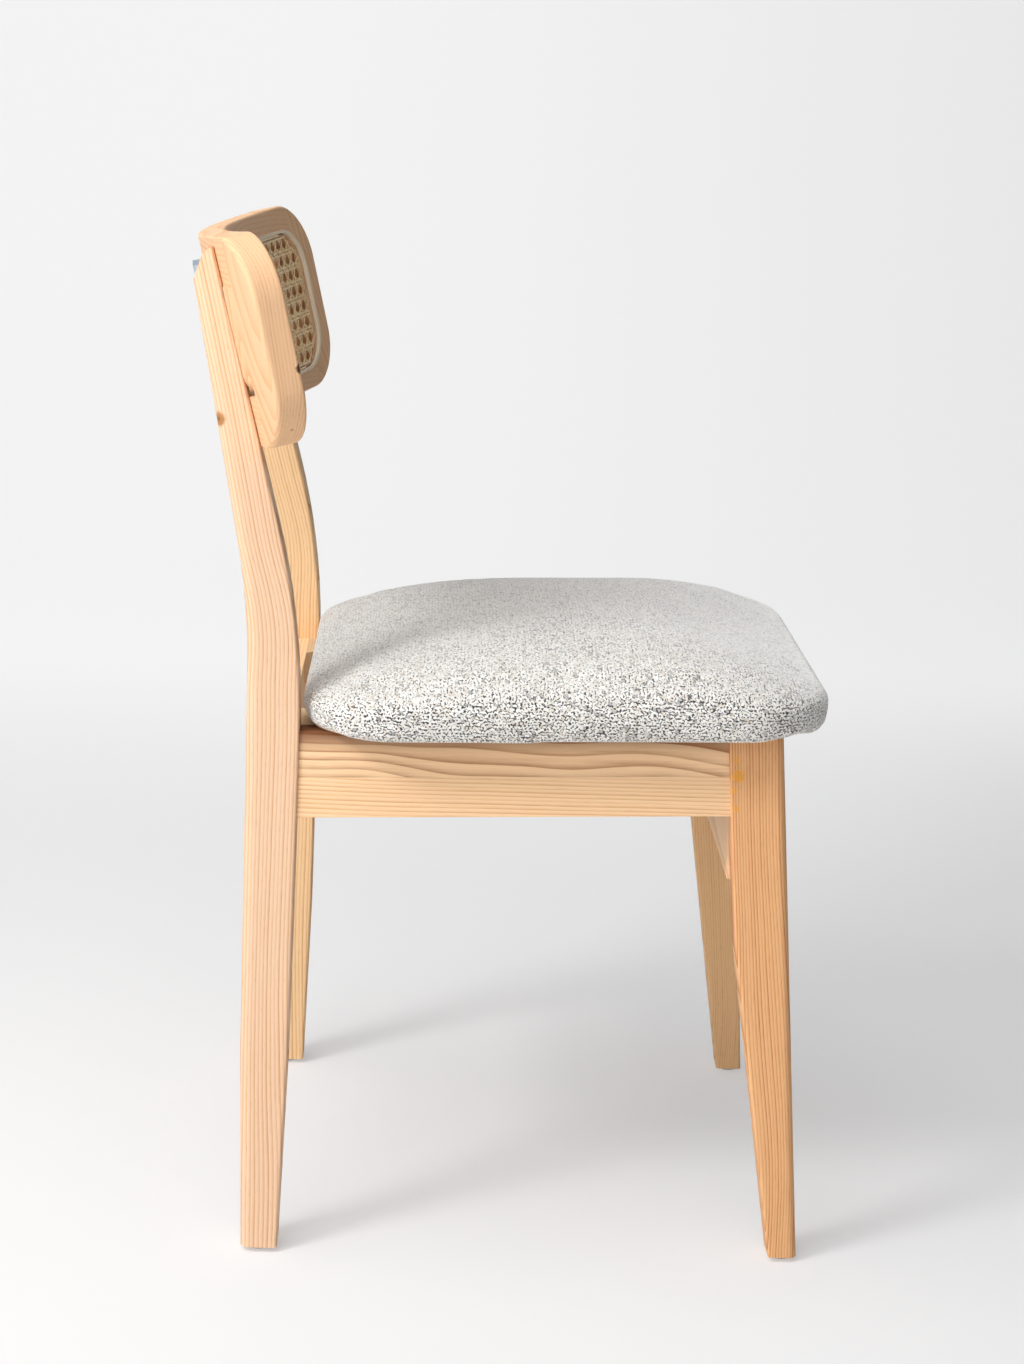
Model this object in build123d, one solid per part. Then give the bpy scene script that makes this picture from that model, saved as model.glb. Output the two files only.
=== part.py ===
from build123d import *
from math import asin, atan, cos, degrees, radians, sin, sqrt, tan
import os

# A dining chair with an ash frame, an upholstered seat and a curved cane backrest.
# Millimetres. +Z is up and the chair faces -Y. It is modelled with Y measured from between the feet, and
# written with its origin on the floor below the middle of its bounding box.
# The sitter's right is at -X. Right-hand pieces are made first and mirrored for the left.

# Stance
foot_spread = 412.0          # between the centres of the right and left feet
side_lean = 4.6              # degrees that each side frame leans inwards
glide_height = 4.0
overrun = 40.0               # how far cutting shapes run past what they cut
glue_gap = 0.1               # all round a dowel, nail or screw

# Back posts, one piece from floor to top, bent at seat height
post_thickness = 28.0
post_front_y = 181.5         # front edge at the seat
post_depth = 41.0            # front to back at the seat
post_waist_drop = 13.0       # where the bends start, below the top of the seat frame
post_shin_height = 160.0
post_shin_depth = 37.5
post_shin_set_back = 4.0     # front edge there, behind the front edge at the seat
post_foot_depth = 28.5
post_foot_set_back = 10.0
post_front_bend_rise = 85.0   # of the corner that the front bend rounds, over the seat frame
post_back_bend_rise = 95.0
post_front_bend_share = 0.8  # of the way from the waist to that corner that is bent
post_back_bend_share = 0.45
post_shin_bend = 640.0       # radius
post_shoulder_drop = 25.0    # below the tip
post_shoulder_depth = 21.0
post_tip_height = 775.0
post_tip_depth = 1.5
post_bevel_drop = 6.0        # where the bevel at the back of the tip changes its slope
post_bevel_depth = 8.0
post_outer_round = 8.5       # rounded outer back edge
edge_round = 2.5             # eased edges of legs and posts

# Front legs
leg_thickness = 28.0
leg_foot_front_y = -219.0
leg_foot_depth = 22.5
leg_top_front_y = -190.0
leg_top_depth = 43.0
leg_knee_height = 250.0
leg_knee_depth = 42.0
leg_knee_bend = 260.0
leg_outer_round = 7.0

# Seat frame
seat_back_height = 413.0     # top of the frame at the front edge of the posts
seat_pitch = 1.6             # degrees that the seat rises to the front
rail_height = 67.5
rail_thickness = 22.0
rail_set_in = 3.5            # outer face of a side rail, inside the face of the posts
rail_lower_share = 0.46      # share of the height that is the lower board
rail_blank_share = 1.2       # the upper board is cut down to the height of the frame
front_rail_back_y = -153.5
front_rail_bottom = 297.0
front_rail_arch = 7.0
rear_rail_front_y = 190.0
rear_rail_bottom = 340.0

# Rail dowels
dowel_radius = 5.0
dowel_length = 40.0
side_dowel_shares = (0.25, 0.69)       # of the height of a side rail
front_dowel_shares = (0.27, 0.745)     # of the height of the front rail
rear_dowel_shares = (0.14, 0.53)       # of the height of the rear rail

# Corner blocks and screws
block_length = 62.0          # along each rail
block_height = 24.0
screw_radius = 2.2
screw_head_radius = 4.2
screw_head_height = 2.6
rail_screw_length = 30.0
rail_screw_depth = 12.0      # that a rail screw goes into a rail
rail_screw_inset = 19.0      # of a rail screw, from the inside corner
seat_screw_inset = 26.0      # of a seat screw, from the inside corner
seat_screw_bite = 9.0

# Seat
seat_side_overhang = 35.2    # of the seat, past the legs
seat_front_overhang = 39.5
seat_gap = 0.8               # between the seat and the posts
seat_thickness = 69.0
seat_corner = 74.0
cover_thickness = 2.0
cover_turn_in = 30.0
board_thickness = 12.0
board_inset = 3.0
dust_cover_thickness = 0.8
# Its sections from the underside to the crown, as shares of its thickness, and how far the front and the
# back are drawn in there, as shares of half its depth, and the sides, as shares of half its width
seat_height_shares = (0.0, 0.05, 0.12, 0.28, 0.42, 0.55, 0.67, 0.77, 0.86, 0.93, 0.975, 1.0)
seat_front_shares = (0.016, 0.01, 0.005, 0.0, 0.06, 0.15, 0.27, 0.395, 0.53, 0.67, 0.805, 0.92)
seat_back_shares = (0.016, 0.01, 0.005, 0.0, 0.022, 0.087, 0.205, 0.355, 0.54, 0.715, 0.845, 0.94)
seat_side_shares = (0.015, 0.01, 0.005, 0.0, 0.013, 0.055, 0.13, 0.235, 0.375, 0.54, 0.71, 0.86)

# Backrest frame: a slab curved round the sitter and leaning back
back_radius = 520.0          # of its front face
back_thickness = 24.0
back_lean = 13.0             # degrees
back_middle_drop = 75.0      # reference height, below the tips of the posts
back_top = 85.0              # the rest is measured up the slab from the reference height
back_bottom = -74.0
back_corner_reach = 178.0    # along the front face, from the middle to the corner centres
back_top_corner = 50.5
back_bottom_corner = 46.0
back_face_round = 2.5        # eased outline in front
back_rear_round = 4.0        # eased outline behind
rail_back_step = 1.6         # the rails are this much thinner than the stiles
window_half_width = 188.0
window_top = 48.0
window_bottom = -36.0
seat_block_width = 27.0      # blocks between posts and window, beside the stiles
seat_block_thickness = 18.0
seat_block_round = 17.0      # of its lower rear edge
back_dowel_radius = 3.0
back_dowel_length = 30.0
back_dowel_shares = (0.2, 0.6)          # of the height of a backrest rail, from the window

# Cane and its spline
groove_half_width = 204.5
groove_top = 65.0
groove_bottom = -58.0
groove_width = 4.0
groove_depth = 7.0
groove_corner = 36.0
lip_width = 2.5
recess_depth = 5.0
recess_corner = 26.0
cane_thickness = 1.2
cane_turn_down = 6.0
spline_proud = 0.8
cane_spacing = 14.0
cane_columns = 30
cane_rows = 8
cane_hole_radius = 4.1
cane_margin = 2.0

# Backrest bolts, two in each post
upper_bolt_height = 63.0
lower_bolt_height = -48.0
bolt_radius = 4.0
bolt_reach = 9.5             # of the shank into the insert
bolt_head_width = 13.0       # across flats
bolt_head_height = 5.3
bolt_seat = 11.5             # wood between washer and backrest
washer_radius = 7.2
washer_thickness = 1.6
counterbore_radius = 7.6
insert_radius = 6.0
insert_length = 11.0
insert_sink = 0.8            # of an insert, below the back of the backrest

# Foot glides
glide_radius = 9.0
glide_round = 2.8
nail_radius = 1.2
nail_length = 16.0

lean = radians(side_lean)
pitch = radians(seat_pitch)
recline = radians(back_lean)
seat_plane = Plane(
    origin=(0, post_front_y, seat_back_height),
    x_dir=(1, 0, 0),
    z_dir=(0, sin(pitch), cos(pitch)),
)
seat_back_y = post_front_y - seat_gap
seat_front_y = leg_top_front_y - seat_front_overhang
seat_depth = seat_back_y - seat_front_y
frame_half_width = foot_spread / 2 - seat_back_height * tan(lean) + leg_thickness / 2
seat_width = (frame_half_width + seat_side_overhang) * 2
back_middle_z = post_tip_height - back_middle_drop


def seat_height(y):
    """Height of the top of the seat frame at a place from front to back."""
    return seat_back_height + (post_front_y - y) * tan(pitch)


def side_x(z):
    """How far the middle of a side frame stands from the middle of the chair, at a height."""
    return foot_spread / 2 - z * tan(lean)


def side_slab(outline, radii, outer, inner):
    """A board of the right side frame, between two distances from the middle plane of that frame."""
    plane = Plane(
        origin=(-foot_spread / 2, 0, 0),
        x_dir=(0, 1, 0),
        z_dir=(cos(lean), 0, -sin(lean)),
    ).offset(-outer)
    points = [(y, z / cos(lean)) for y, z in outline]
    face = make_face(FilletPolyline(*points, radius=radii, close=True))
    return extrude(plane * face, outer + inner)


def above(height):
    """Everything over a level."""
    size = foot_spread * 4
    return Pos(0, 0, height + size / 2) * Box(size, size, size)


def under_seat():
    """Everything under the top of the seat frame."""
    size = foot_spread * 4
    return seat_plane * Pos(0, 0, -size / 2) * Box(size, size, size)


def rod(start, direction, radius, length):
    """A round bar from a point along a direction."""
    plane = Plane(origin=start, z_dir=direction)
    return extrude(plane * Circle(radius), length)


def face_edges(part, outer_side, back_side):
    """Edges between the outer or inner face of a side piece and its front or back faces."""
    side_sign = -1 if outer_side else 1
    back_sign = 1 if back_side else -1
    flat = [f for f in part.faces() if f.normal_at().X * side_sign > cos(radians(20))]
    narrow = [f for f in part.faces() if f.normal_at().Y * back_sign > sin(radians(20))]
    narrow_edges = [e for f in narrow for e in f.edges()]
    return [e for f in flat for e in f.edges() if any(e.is_same(n) for n in narrow_edges)]


def ease_long_edges(part, big_back, big_radius):
    """Round the outer back or outer front edge more than the other three."""
    part = fillet(face_edges(part, True, big_back), big_radius)
    part = fillet(face_edges(part, True, not big_back), edge_round)
    part = fillet(face_edges(part, False, big_back), edge_round)
    return fillet(face_edges(part, False, not big_back), edge_round)


# Backrest geometry in its own plane: X along the chord, Y towards the back, Z up the slab


def back_y(radius, x):
    """Depth of a curved face of the backrest at a distance from the middle."""
    return sqrt(radius * radius - x * x) - back_radius


def plane_at(middle_y):
    """The plane of the backrest, for a place of its front face at the reference height."""
    return Plane(
        origin=(0, middle_y, back_middle_z),
        x_dir=(1, 0, 0),
        z_dir=(0, sin(recline), cos(recline)),
    )


def post_face_point(plane, up):
    """Where the outer front edge of a post meets the back of the backrest, as Y and Z of the chair."""
    z = back_middle_z + up * cos(recline)
    for _ in range(4):
        x = side_x(z) + post_thickness / 2
        point = plane.from_local_coords(Vector(x, back_y(back_radius + back_thickness, x), up))
        z = point.Z
    return point.Y, point.Z


def post_front_slope():
    """How fast the upper front edge of a post goes back as it rises, along the back of the backrest."""
    low_y, low_z = post_face_point(plane_at(0), back_bottom)
    high_y, high_z = post_face_point(plane_at(0), window_top)
    return (high_y - low_y) / (high_z - low_z)


def post_front_line(z):
    """Y of the straight upper front edge of a post at a height."""
    return post_front_y + (z - seat_back_height - post_front_bend_rise) * post_front_slope()


def find_back_plane():
    """The plane of the backrest that lays its back against the posts."""
    low_y, low_z = post_face_point(plane_at(0), back_bottom)
    return plane_at(post_front_line(low_z) - low_y)


back_plane = find_back_plane()


def bend_radius(straight, share, rise, run):
    """Radius that bends a share of a straight into a slope."""
    turn = atan(run / rise)
    return straight * share / tan(turn / 2)


def post_outline():
    waist_height = seat_back_height - post_waist_drop
    front_bend_height = seat_back_height + post_front_bend_rise
    back_bend_height = seat_back_height + post_back_bend_rise
    shoulder_height = post_tip_height - post_shoulder_drop
    shoulder_y = post_front_line(shoulder_height) + post_shoulder_depth
    tip_y = post_front_line(post_tip_height)
    seat_back_edge = post_front_y + post_depth
    shin_y = post_front_y + post_shin_set_back
    foot_y = post_front_y + post_foot_set_back
    back_rise = shoulder_height - back_bend_height
    back_run = shoulder_y - seat_back_edge
    tip_back_y = seat_back_edge + back_run * (post_tip_height - back_bend_height) / back_rise
    outline = [
        (foot_y, 0),
        (shin_y, post_shin_height),
        (post_front_y, waist_height),
        (post_front_y, front_bend_height),
        (tip_y, post_tip_height),
        (tip_back_y, post_tip_height),
        (seat_back_edge, back_bend_height),
        (seat_back_edge, waist_height),
        (shin_y + post_shin_depth, post_shin_height),
        (foot_y + post_foot_depth, 0),
    ]
    front_straight = front_bend_height - waist_height
    front_radius = bend_radius(front_straight, post_front_bend_share, 1, post_front_slope())
    back_straight = back_bend_height - waist_height
    rear_radius = bend_radius(back_straight, post_back_bend_share, back_rise, back_run)
    radii = [0, post_shin_bend, 0, front_radius, 0]
    radii += [0, rear_radius, 0, post_shin_bend, 0]
    return outline, radii


def post_tip_bevel():
    """The space behind the bevelled tip of a post."""
    tip_y = post_front_line(post_tip_height)
    shoulder_height = post_tip_height - post_shoulder_drop
    shoulder_y = post_front_line(shoulder_height) + post_shoulder_depth
    outline = [
        (tip_y + post_tip_depth, post_tip_height + overrun),
        (tip_y + post_tip_depth, post_tip_height),
        (tip_y + post_bevel_depth, post_tip_height - post_bevel_drop),
        (shoulder_y, shoulder_height),
        (shoulder_y + overrun, shoulder_height),
        (shoulder_y + overrun, post_tip_height + overrun),
    ]
    return side_slab(outline, [0] * len(outline), post_thickness, post_thickness)


def post_blank():
    outline, radii = post_outline()
    half = post_thickness / 2
    return side_slab(outline, radii, half, half) & above(glide_height)


def leg_back_y(z):
    """Back edge of a front leg at a height above its knee."""
    top = seat_height(leg_top_front_y)
    share = (z - leg_knee_height) / (top - leg_knee_height)
    knee_back = leg_front_y(leg_knee_height) + leg_knee_depth
    return knee_back + share * (leg_top_front_y + leg_top_depth - knee_back)


def leg_front_y(z):
    """Front edge of a front leg at a height."""
    share = z / seat_height(leg_top_front_y)
    return leg_foot_front_y + share * (leg_top_front_y - leg_foot_front_y)


def leg_blank():
    top = seat_height(leg_top_front_y) + overrun
    outline = [
        (leg_foot_front_y, 0),
        (leg_foot_front_y + leg_foot_depth, 0),
        (leg_front_y(leg_knee_height) + leg_knee_depth, leg_knee_height),
        (leg_back_y(top), top),
        (leg_front_y(top), top),
    ]
    half = leg_thickness / 2
    leg = side_slab(outline, [0, 0, leg_knee_bend, 0, 0], half, half)
    return leg & above(glide_height) & under_seat()


def side_rail_blank(low_share, high_share):
    """A board of the right side rail, between two shares of its height, running into leg and post."""
    start = leg_top_front_y + leg_top_depth / 2
    end = post_front_y + post_depth / 2
    low = rail_height * (1 - low_share)
    high = rail_height * (1 - high_share)
    outline = [
        (start, seat_height(start) - low),
        (end, seat_height(end) - low),
        (end, seat_height(end) - high),
        (start, seat_height(start) - high),
    ]
    outer = post_thickness / 2 - rail_set_in
    return side_slab(outline, [0] * len(outline), outer, rail_thickness - outer) & under_seat()


def beyond_side_frame():
    """Everything to the right of the inner face of the right legs."""
    size = foot_spread
    outline = [(-size, 0), (size, 0), (size, size * 2), (-size, size * 2)]
    return side_slab(outline, [0] * len(outline), size, post_thickness / 2)


def cross_rail_blank(front_y, bottom):
    """A rail across the chair, between the inner faces of the legs."""
    top = seat_back_height + overrun
    middle = Pos(0, front_y + rail_thickness / 2, (bottom + top) / 2)
    rail = middle * Box(foot_spread, rail_thickness, top - bottom)
    return (rail & under_seat()) - both_sides([beyond_side_frame()])


def front_rail_hollow():
    """The space under the arched lower edge of the front rail, from the middle of the chair forwards."""
    start = (-foot_spread / 2, front_rail_bottom)
    end = (foot_spread / 2, front_rail_bottom)
    arch = ThreePointArc(start, (0, front_rail_bottom + front_rail_arch), end)
    outline = Plane.XZ * make_face([arch, Line(end, start)])
    return extrude(outline, foot_spread)


# Dowels of the seat frame


def side_dowel_points():
    """Middles of the dowels at both ends of the right side rail."""
    points = []
    offset = rail_thickness / 2 + rail_set_in - post_thickness / 2
    for share in side_dowel_shares:
        drop = rail_height * (1 - share)
        z = seat_height(post_front_y) - drop
        points.append((offset - side_x(z), post_front_y, z))
        leg_z = seat_height(leg_top_front_y + leg_top_depth) - drop
        points.append((offset - side_x(leg_z), leg_back_y(leg_z), leg_z))
    return points


def cross_dowel_points(front_y, bottom, shares):
    """Middles of the dowels at the right end of a cross rail."""
    y = front_y + rail_thickness / 2
    height = seat_height(y) - bottom
    levels = [bottom + height * share for share in shares]
    return [(post_thickness / 2 - side_x(z), y, z) for z in levels]


def seat_frame_dowels(radius, spare):
    """All dowels of the right half of the seat frame."""
    length = dowel_length + spare * 2
    dowels = []
    for x, y, z in side_dowel_points():
        dowels.append(rod((x, y - length / 2, z), (0, 1, 0), radius, length))
    front_y = front_rail_back_y - rail_thickness
    points = cross_dowel_points(front_y, front_rail_bottom, front_dowel_shares)
    points += cross_dowel_points(rear_rail_front_y, rear_rail_bottom, rear_dowel_shares)
    for x, y, z in points:
        dowels.append(rod((x - length / 2, y, z), (1, 0, 0), radius, length))
    return dowels


# Corner blocks


def block_corner(at_front):
    """Inside corner of the seat frame on the right, as X and Y."""
    z = seat_back_height
    inner = rail_thickness - post_thickness / 2 + rail_set_in
    y = front_rail_back_y if at_front else rear_rail_front_y
    return inner - side_x(z), y


def corner_block_blank(at_front):
    x, y = block_corner(at_front)
    turn = 1 if at_front else -1
    shape = Polyline(
        (x - overrun / 2, y),
        (x + block_length, y),
        (x, y + turn * block_length),
        (x - overrun / 2, y + turn * block_length),
        close=True,
    )
    low = seat_height(y) - block_height
    face = make_face(Pos(0, 0, low) * shape)
    return extrude(face, amount=block_height + overrun, dir=(0, 0, 1)) & under_seat()


def wood_screw(tip, direction, length):
    """A countersunk screw, from its tip along a direction to its head."""
    head_middle = Pos(0, 0, length - screw_head_height / 2)
    cone = head_middle * Cone(screw_radius, screw_head_radius, screw_head_height)
    return rod(tip, direction, screw_radius, length) + Plane(origin=tip, z_dir=direction) * cone


def rail_screw_places(at_front):
    """Tips and directions of the two screws of a corner block, into the side rail and the cross rail."""
    x, y = block_corner(at_front)
    turn = 1 if at_front else -1
    z = seat_height(y) - block_height / 2
    side_face = x - (seat_back_height - z) * tan(lean)
    into_side = ((side_face - rail_screw_depth, y + turn * rail_screw_inset, z), (1, 0, 0))
    into_cross = ((x + rail_screw_inset, y - turn * rail_screw_depth, z), (0, turn, 0))
    return [into_side, into_cross]


def rail_screws():
    """The screws that hold the right-hand corner blocks to the rails."""
    screws = []
    for at_front in (True, False):
        for tip, direction in rail_screw_places(at_front):
            screws.append(wood_screw(tip, direction, rail_screw_length))
    return screws


def rail_screw_access():
    """Bores that let the screw heads into the corner blocks."""
    bores = []
    for at_front in (True, False):
        for tip, direction in rail_screw_places(at_front):
            start = Vector(*tip) + Vector(*direction) * rail_screw_length
            bores.append(rod(start, direction, screw_head_radius + glue_gap, overrun * 2))
    return bores


def seat_screws():
    """The screws that come up through the right-hand corner blocks into the seat board."""
    screws = []
    for at_front in (True, False):
        x, y = block_corner(at_front)
        turn = 1 if at_front else -1
        place_y = y + turn * seat_screw_inset
        top = seat_height(place_y) + cover_thickness + seat_screw_bite
        bottom = seat_height(y) - block_height
        screws.append(wood_screw((x + seat_screw_inset, place_y, top), (0, 0, -1), top - bottom))
    return screws


# Seat


def seat_section(front_inset, back_inset, side_inset, height):
    """Outline of the seat at a height over the seat frame, drawn in on each side."""
    width = seat_width - side_inset * 2
    depth = seat_depth - front_inset - back_inset
    middle_y = (seat_back_y - back_inset + seat_front_y + front_inset) / 2 - post_front_y
    corner = min(max(seat_corner - side_inset / 2, seat_corner / 2), depth / 3, width / 3)
    return seat_plane * Pos(0, middle_y, height) * RectangleRounded(width, depth, corner)


def drawn_in(front_share, back_share, side_share, skin):
    """Insets of a section from its shares and a skin."""
    front = front_share * seat_depth / 2 + skin
    back = back_share * seat_depth / 2 + skin
    return front, back, side_share * seat_width / 2 + skin


def cushion_form(skin):
    """The crowned seat, drawn in by the thickness of a skin."""
    height = seat_thickness - skin * 2
    shares = zip(seat_height_shares, seat_front_shares, seat_back_shares, seat_side_shares)
    sections = []
    for height_share, front, back, side in shares:
        level = skin + height * height_share
        sections.append(seat_section(*drawn_in(front, back, side, skin), level))
    return loft(sections, ruled=True)


def under_section(inset, height, thickness):
    """A flat layer of the seat, drawn in from the edge of its underside."""
    shares = seat_front_shares[0], seat_back_shares[0], seat_side_shares[0]
    return extrude(seat_section(*drawn_in(*shares, inset), height), thickness)


# Backrest


def curved_slab(inner_radius, outer_radius, low, high):
    """A slab round the axis of the backrest, wider than the chair."""
    half_angle = degrees(asin(foot_spread / 2 / back_radius)) * 2
    start = 90 - half_angle
    outer = CenterArc((0, -back_radius), outer_radius, start, half_angle * 2)
    inner = CenterArc((0, -back_radius), inner_radius, start, half_angle * 2)
    face = make_face([outer, inner, Line(outer @ 0, inner @ 0), Line(outer @ 1, inner @ 1)])
    return Pos(0, 0, low) * extrude(face, high - low)


def back_end_prism():
    """Outline of the backrest as seen square to its left end."""
    angle = back_corner_reach / back_radius
    plane = Plane(
        origin=(back_radius * sin(angle), back_radius * cos(angle) - back_radius, 0),
        x_dir=(cos(angle), -sin(angle), 0),
        z_dir=(-sin(angle), -cos(angle), 0),
    )
    points = [
        (-back_radius, back_bottom),
        (back_top_corner, back_bottom),
        (back_top_corner, back_top),
        (-back_radius, back_top),
    ]
    radii = [0, back_bottom_corner, back_top_corner, 0]
    face = make_face(FilletPolyline(*points, radius=radii, close=True))
    return extrude(plane * face, back_radius / 2, both=True)


def window_prism(half_width, low, high, corner):
    """A rounded opening straight through the backrest."""
    plane = Plane(origin=(0, 0, (low + high) / 2), x_dir=(1, 0, 0), z_dir=(0, -1, 0))
    face = plane * RectangleRounded(half_width * 2, high - low, corner)
    return extrude(face, back_radius / 2, both=True)


def groove_prism(inset):
    """The outline of the cane groove, drawn in."""
    return window_prism(
        groove_half_width - inset, groove_bottom + inset, groove_top - inset, groove_corner - inset,
    )


def back_layer(depth_from, depth_to):
    """The part of the backrest between two depths behind its front face."""
    return curved_slab(
        back_radius + depth_from, back_radius + depth_to, back_bottom - overrun, back_top + overrun,
    )


def back_slab():
    """The whole backrest outline with eased edges and the groove and recess for the cane."""
    prism = back_end_prism()
    slab = back_layer(0, back_thickness) & prism & mirror(prism, about=Plane.YZ)
    curved = [f for f in slab.faces() if f.geom_type == GeomType.CYLINDER]
    curved = sorted(curved, key=lambda f: f.area)[-2:]
    rear, front = sorted(curved, key=lambda f: f.center().Y, reverse=True)
    slab = fillet(front.edges(), back_face_round)
    rear = max(slab.faces().filter_by(GeomType.CYLINDER), key=lambda f: f.area)
    slab = fillet(rear.edges(), back_rear_round)
    inner = groove_prism(groove_width)
    slab -= (groove_prism(0) - inner) & back_layer(-overrun, groove_depth)
    slab -= inner & back_layer(-overrun, cane_thickness)
    lip_inset = groove_width + lip_width
    recess = window_prism(
        groove_half_width - lip_inset, groove_bottom + lip_inset, groove_top - lip_inset, recess_corner,
    )
    return slab - (recess & back_layer(-overrun, recess_depth))


def back_box(x_low, x_high, low, high):
    """A block of space in the plane of the backrest."""
    depth = back_radius
    middle = Pos((x_low + x_high) / 2, 0, (low + high) / 2)
    return middle * Box(x_high - x_low, depth, high - low)


def seat_block():
    """The block between the right post and the stile, rounded under its rear face."""
    block = back_box(-window_half_width, seat_block_width - window_half_width, window_bottom, window_top)
    block &= back_layer(back_thickness - seat_block_thickness, back_thickness)
    rear = max(block.faces().filter_by(GeomType.CYLINDER), key=lambda f: f.center().Y)
    return fillet(rear.edges().sort_by(Axis.Z)[0], seat_block_round)


def back_dowel_places():
    """Middles and directions of the dowels at the right ends of the backrest rails."""
    x = -window_half_width
    radius = back_radius + back_thickness / 2
    angle = asin(-x / radius)
    y = back_y(radius, x)
    places = []
    for window_edge, outer_edge in ((window_top, back_top), (window_bottom, back_bottom)):
        for share in back_dowel_shares:
            up = window_edge + (outer_edge - window_edge) * share
            places.append(((x, y, up), (cos(angle), sin(angle), 0)))
    return places


def back_dowels(radius, spare):
    length = back_dowel_length + spare * 2
    dowels = []
    for middle, direction in back_dowel_places():
        start = Vector(*middle) - Vector(*direction) * (length / 2)
        dowels.append(back_plane * rod(start, direction, radius, length))
    return dowels


def bolt_places():
    """Where the axis of each right-hand bolt meets the back of the backrest, in the backrest's plane."""
    places = []
    for up in (upper_bolt_height, lower_bolt_height):
        z = back_middle_z + up * cos(recline)
        x = side_x(z)
        outer = x + post_thickness / 2
        places.append((-x, back_y(back_radius + back_thickness, outer), up))
    return places


def along_bolts(radius, depth_from, depth_to):
    """Round bars on the bolt axes, between two distances behind the back of the backrest."""
    bars = []
    for x, y, up in bolt_places():
        bar = rod((x, y + depth_from, up), (0, 1, 0), radius, depth_to - depth_from)
        bars.append(back_plane * bar)
    return bars


def backrest_bolts():
    bolts = []
    head_start = bolt_seat + washer_thickness
    for shank, (x, y, up) in zip(along_bolts(bolt_radius, -bolt_reach, head_start), bolt_places()):
        plane = Plane(origin=(x, y + head_start, up), z_dir=(0, 1, 0))
        corner_radius = bolt_head_width / 2 / cos(radians(30))
        head = extrude(plane * RegularPolygon(corner_radius, 6), bolt_head_height)
        bolts.append(shank + back_plane * head)
    return bolts


def cane_hole_places():
    """Arc length and height of each hole that fits inside the groove, corners left out."""
    middle = (groove_top + groove_bottom) / 2
    arc_half_width = back_radius * asin((groove_half_width - groove_width) / back_radius)
    half_height = (groove_top - groove_bottom) / 2 - groove_width
    corner = groove_corner - groove_width
    reach = cane_hole_radius + cane_margin
    places = []
    for column in range(cane_columns):
        for row in range(cane_rows):
            arc = (column - (cane_columns - 1) / 2) * cane_spacing
            up = (row - (cane_rows - 1) / 2) * cane_spacing
            past_x = max(abs(arc) - (arc_half_width - corner), 0)
            past_z = max(abs(up) - (half_height - corner), 0)
            if sqrt(past_x * past_x + past_z * past_z) < corner - reach:
                places.append((arc, middle + up))
    return places


def cane_panel_blank():
    sheet = groove_prism(groove_width - cane_thickness) & back_layer(0, cane_thickness)
    skirt = groove_prism(groove_width - cane_thickness) - groove_prism(groove_width)
    sheet += skirt & back_layer(0, cane_turn_down)
    holes = []
    for arc, up in cane_hole_places():
        angle = arc / back_radius
        start_radius = back_radius - overrun / 2
        plane = Plane(
            origin=(start_radius * sin(angle), start_radius * cos(angle) - back_radius, up),
            x_dir=(cos(angle), -sin(angle), 0),
            z_dir=(sin(angle), cos(angle), 0),
        )
        octagon = plane * RegularPolygon(cane_hole_radius, 8, rotation=180 / 8)
        holes.append(extrude(octagon, overrun))
    return sheet - holes


def cane_spline_blank():
    ring = groove_prism(0) - groove_prism(groove_width - cane_thickness)
    return ring & back_layer(-spline_proud, cane_turn_down)


# Feet


def foot_places():
    """Middles of the undersides of the right feet, as X and Y."""
    x = -side_x(glide_height)
    back = post_front_y + post_foot_set_back + post_foot_depth / 2
    front = leg_foot_front_y + leg_foot_depth / 2
    return [(x, back), (x, front)]


def foot_glides():
    glides = []
    for x, y in foot_places():
        glide = Pos(x, y, glide_height / 2) * Cylinder(glide_radius, glide_height)
        rim = glide.edges().sort_by(Axis.Z)[0]
        glides.append(fillet(rim, glide_round))
    return glides


def foot_nails(radius):
    return [rod((x, y, glide_height), (0, 0, 1), radius, nail_length) for x, y in foot_places()]


# Assembly


def other_side(shape):
    return mirror(shape, about=Plane.YZ)


def both_sides(shapes):
    return list(shapes) + [other_side(s) for s in shapes]


def save(name, shapes):
    """Keep one sub-part, one solid or a group of separate ones."""
    shapes = shapes if isinstance(shapes, list) else [shapes]
    sub_parts[name] = [solid for shape in shapes for solid in shape.solids()]


def write_parts():
    """Centre the chair over the origin from front to back and write each sub-part."""
    os.makedirs("parts", exist_ok=True)
    everything = [solid for solids in sub_parts.values() for solid in solids]
    boxes = [solid.bounding_box() for solid in everything]
    middle = (min(box.min.Y for box in boxes) + max(box.max.Y for box in boxes)) / 2
    print("moved from front to back by", -middle)
    for name, solids in sub_parts.items():
        moved = [Pos(0, -middle, 0) * solid for solid in solids]
        whole = moved[0] if len(moved) == 1 else Compound(children=moved)
        whole.label = name
        export_step(whole, os.path.join("parts", name + ".step"))


def save_pair(name, shape):
    save(name + "_right", shape)
    save(name + "_left", other_side(shape))


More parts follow.
